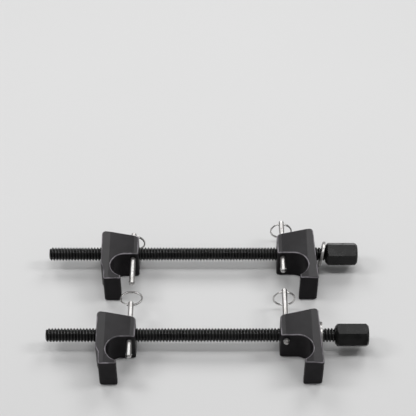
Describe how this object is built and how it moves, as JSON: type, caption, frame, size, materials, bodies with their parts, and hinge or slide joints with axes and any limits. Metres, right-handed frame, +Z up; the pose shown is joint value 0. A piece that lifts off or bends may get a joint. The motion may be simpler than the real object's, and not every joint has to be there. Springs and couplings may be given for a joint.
{
  "type": "coil spring compressor",
  "caption": "Pair of screw-driven spring compressors: two forged hooks on a threaded rod with a hexagon drive head, and ball-locking safety pins on split rings.",
  "frame": {"origin": "on the resting surface, under the middle of the pair", "axes": "+X along the screws towards the hexagon heads, +Y away from the hooks, +Z up"},
  "size_m": [0.3634, 0.208, 0.042],
  "materials": {
    "black_jaw": "semi-gloss black over a forged surface",
    "blacked_rod": "oiled black steel thread",
    "blacked_hex": "satin black oxide",
    "zinc_steel": "bright zinc plate",
    "zinc_wire": "bright nickel plate",
    "bearing_steel": "polished",
    "spring_steel": "plain spring steel"
  },
  "bodies": {
    "front_head_hook": {"front_head_jaw": "black_jaw"},
    "front_screw": {"front_threaded_rod": "blacked_rod", "front_drive_hex": "blacked_hex", "front_roll_pin": "spring_steel"},
    "front_travel_hook": {"front_travel_jaw": "black_jaw"},
    "front_washer": {"front_thrust_washer": "zinc_steel"},
    "front_travel_safety_pin": {"front_travel_pin": "zinc_steel", "front_travel_detent_spring": "spring_steel"},
    "front_travel_ring": {"front_travel_split_ring": "zinc_wire"},
    "front_travel_left_detent": {"front_travel_left_ball": "bearing_steel"},
    "front_travel_right_detent": {"front_travel_right_ball": "bearing_steel"},
    "front_head_safety_pin": {"front_head_pin": "zinc_steel", "front_head_detent_spring": "spring_steel"},
    "front_head_ring": {"front_head_split_ring": "zinc_wire"},
    "front_head_left_detent": {"front_head_left_ball": "bearing_steel"},
    "front_head_right_detent": {"front_head_right_ball": "bearing_steel"},
    "rear_head_hook": {"rear_head_jaw": "black_jaw"},
    "rear_screw": {"rear_threaded_rod": "blacked_rod", "rear_drive_hex": "blacked_hex", "rear_roll_pin": "spring_steel"},
    "rear_travel_hook": {"rear_travel_jaw": "black_jaw"},
    "rear_washer": {"rear_thrust_washer": "zinc_steel"},
    "rear_travel_safety_pin": {"rear_travel_pin": "zinc_steel", "rear_travel_detent_spring": "spring_steel"},
    "rear_travel_ring": {"rear_travel_split_ring": "zinc_wire"},
    "rear_travel_left_detent": {"rear_travel_left_ball": "bearing_steel"},
    "rear_travel_right_detent": {"rear_travel_right_ball": "bearing_steel"},
    "rear_head_safety_pin": {"rear_head_pin": "zinc_steel", "rear_head_detent_spring": "spring_steel"},
    "rear_head_ring": {"rear_head_split_ring": "zinc_wire"},
    "rear_head_left_detent": {"rear_head_left_ball": "bearing_steel"},
    "rear_head_right_detent": {"rear_head_right_ball": "bearing_steel"}
  },
  "joints": [
    {"name": "front_screw_spin", "type": "hinge", "parent": "front_head_hook", "child": "front_screw", "pos_m": [0.00225, -0.05145, 0.021], "axis": [-1, 0, 0], "range_deg": [-5401, 14761]},
    {"name": "front_jaw_travel", "type": "slide", "parent": "front_head_hook", "child": "front_travel_hook", "axis": [1, 0, 0], "range_m": [-0.0525, 0.1435]},
    {"name": "front_washer_slide", "type": "slide", "parent": "front_screw", "child": "front_washer", "axis": [1, 0, 0], "range_m": [-0.0008, 0.0145]},
    {"name": "front_travel_pin_slide", "type": "slide", "parent": "front_travel_hook", "child": "front_travel_safety_pin", "axis": [0, 1, 0], "range_m": [-0.0163, 0.0163]},
    {"name": "front_travel_ring_swing", "type": "hinge", "parent": "front_travel_safety_pin", "child": "front_travel_ring", "pos_m": [-0.0835, -0.01845, 0.0328], "axis": [-1, 0, 0], "range_deg": [-11, 120]},
    {"name": "front_travel_left_ball_press", "type": "slide", "parent": "front_travel_safety_pin", "child": "front_travel_left_detent", "axis": [1, 0, 0], "range_m": [0, 0.00065], "stiffness_N_per_m": 500, "springref_m": -0.0008, "deforming": ["front_travel_detent_spring"]},
    {"name": "front_travel_right_ball_press", "type": "slide", "parent": "front_travel_safety_pin", "child": "front_travel_right_detent", "axis": [-1, 0, 0], "range_m": [0, 0.00065], "stiffness_N_per_m": 500, "springref_m": -0.0008},
    {"name": "front_head_pin_slide", "type": "slide", "parent": "front_head_hook", "child": "front_head_safety_pin", "axis": [0, 1, 0], "range_m": [-0.0313, 0]},
    {"name": "front_head_ring_swing", "type": "hinge", "parent": "front_head_safety_pin", "child": "front_head_ring", "pos_m": [0.0897, -0.00025, 0.0328], "axis": [-1, 0, 0], "range_deg": [-90, 75]},
    {"name": "front_head_left_ball_press", "type": "slide", "parent": "front_head_safety_pin", "child": "front_head_left_detent", "axis": [1, 0, 0], "range_m": [0, 0.00065], "stiffness_N_per_m": 500, "springref_m": -0.0008, "deforming": ["front_head_detent_spring"]},
    {"name": "front_head_right_ball_press", "type": "slide", "parent": "front_head_safety_pin", "child": "front_head_right_detent", "axis": [-1, 0, 0], "range_m": [0, 0.00065], "stiffness_N_per_m": 500, "springref_m": -0.0008},
    {"name": "rear_unit_apart", "type": "slide", "parent": "front_head_hook", "child": "rear_head_hook", "axis": [0, 1, 0], "range_m": [0, 0.12]},
    {"name": "rear_screw_spin", "type": "hinge", "parent": "rear_head_hook", "child": "rear_screw", "pos_m": [-0.00225, 0.06505, 0.021], "axis": [-1, 0, 0], "range_deg": [-5401, 14761]},
    {"name": "rear_jaw_travel", "type": "slide", "parent": "rear_head_hook", "child": "rear_travel_hook", "axis": [1, 0, 0], "range_m": [-0.0525, 0.1435]},
    {"name": "rear_washer_slide", "type": "slide", "parent": "rear_screw", "child": "rear_washer", "axis": [1, 0, 0], "range_m": [-0.0035, 0.0006]},
    {"name": "rear_travel_pin_slide", "type": "slide", "parent": "rear_travel_hook", "child": "rear_travel_safety_pin", "axis": [0, 1, 0], "range_m": [0, 0.0326]},
    {"name": "rear_travel_ring_swing", "type": "hinge", "parent": "rear_travel_safety_pin", "child": "rear_travel_ring", "pos_m": [-0.0835, 0.08175, 0.0328], "axis": [-1, 0, 0], "range_deg": [-90, 0]},
    {"name": "rear_travel_left_ball_press", "type": "slide", "parent": "rear_travel_safety_pin", "child": "rear_travel_left_detent", "axis": [1, 0, 0], "range_m": [0, 0.00065], "stiffness_N_per_m": 500, "springref_m": -0.0008, "deforming": ["rear_travel_detent_spring"]},
    {"name": "rear_travel_right_ball_press", "type": "slide", "parent": "rear_travel_safety_pin", "child": "rear_travel_right_detent", "axis": [-1, 0, 0], "range_m": [0, 0.00065], "stiffness_N_per_m": 500, "springref_m": -0.0008},
    {"name": "rear_head_pin_slide", "type": "slide", "parent": "rear_head_hook", "child": "rear_head_safety_pin", "axis": [0, 1, 0], "range_m": [-0.0155, 0.0158]},
    {"name": "rear_head_ring_swing", "type": "hinge", "parent": "rear_head_safety_pin", "child": "rear_head_ring", "pos_m": [0.0897, 0.10045, 0.0328], "axis": [-1, 0, 0], "range_deg": [-90, 44]},
    {"name": "rear_head_left_ball_press", "type": "slide", "parent": "rear_head_safety_pin", "child": "rear_head_left_detent", "axis": [1, 0, 0], "range_m": [0, 0.00065], "stiffness_N_per_m": 500, "springref_m": -0.0008, "deforming": ["rear_head_detent_spring"]},
    {"name": "rear_head_right_ball_press", "type": "slide", "parent": "rear_head_safety_pin", "child": "rear_head_right_detent", "axis": [-1, 0, 0], "range_m": [0, 0.00065], "stiffness_N_per_m": 500, "springref_m": -0.0008}
  ],
  "couplings": [
    {"joint": "front_screw_spin", "follows": "front_jaw_travel", "rad_per_m": 1795.2},
    {"joint": "rear_screw_spin", "follows": "rear_jaw_travel", "rad_per_m": 1795.2}
  ]
}
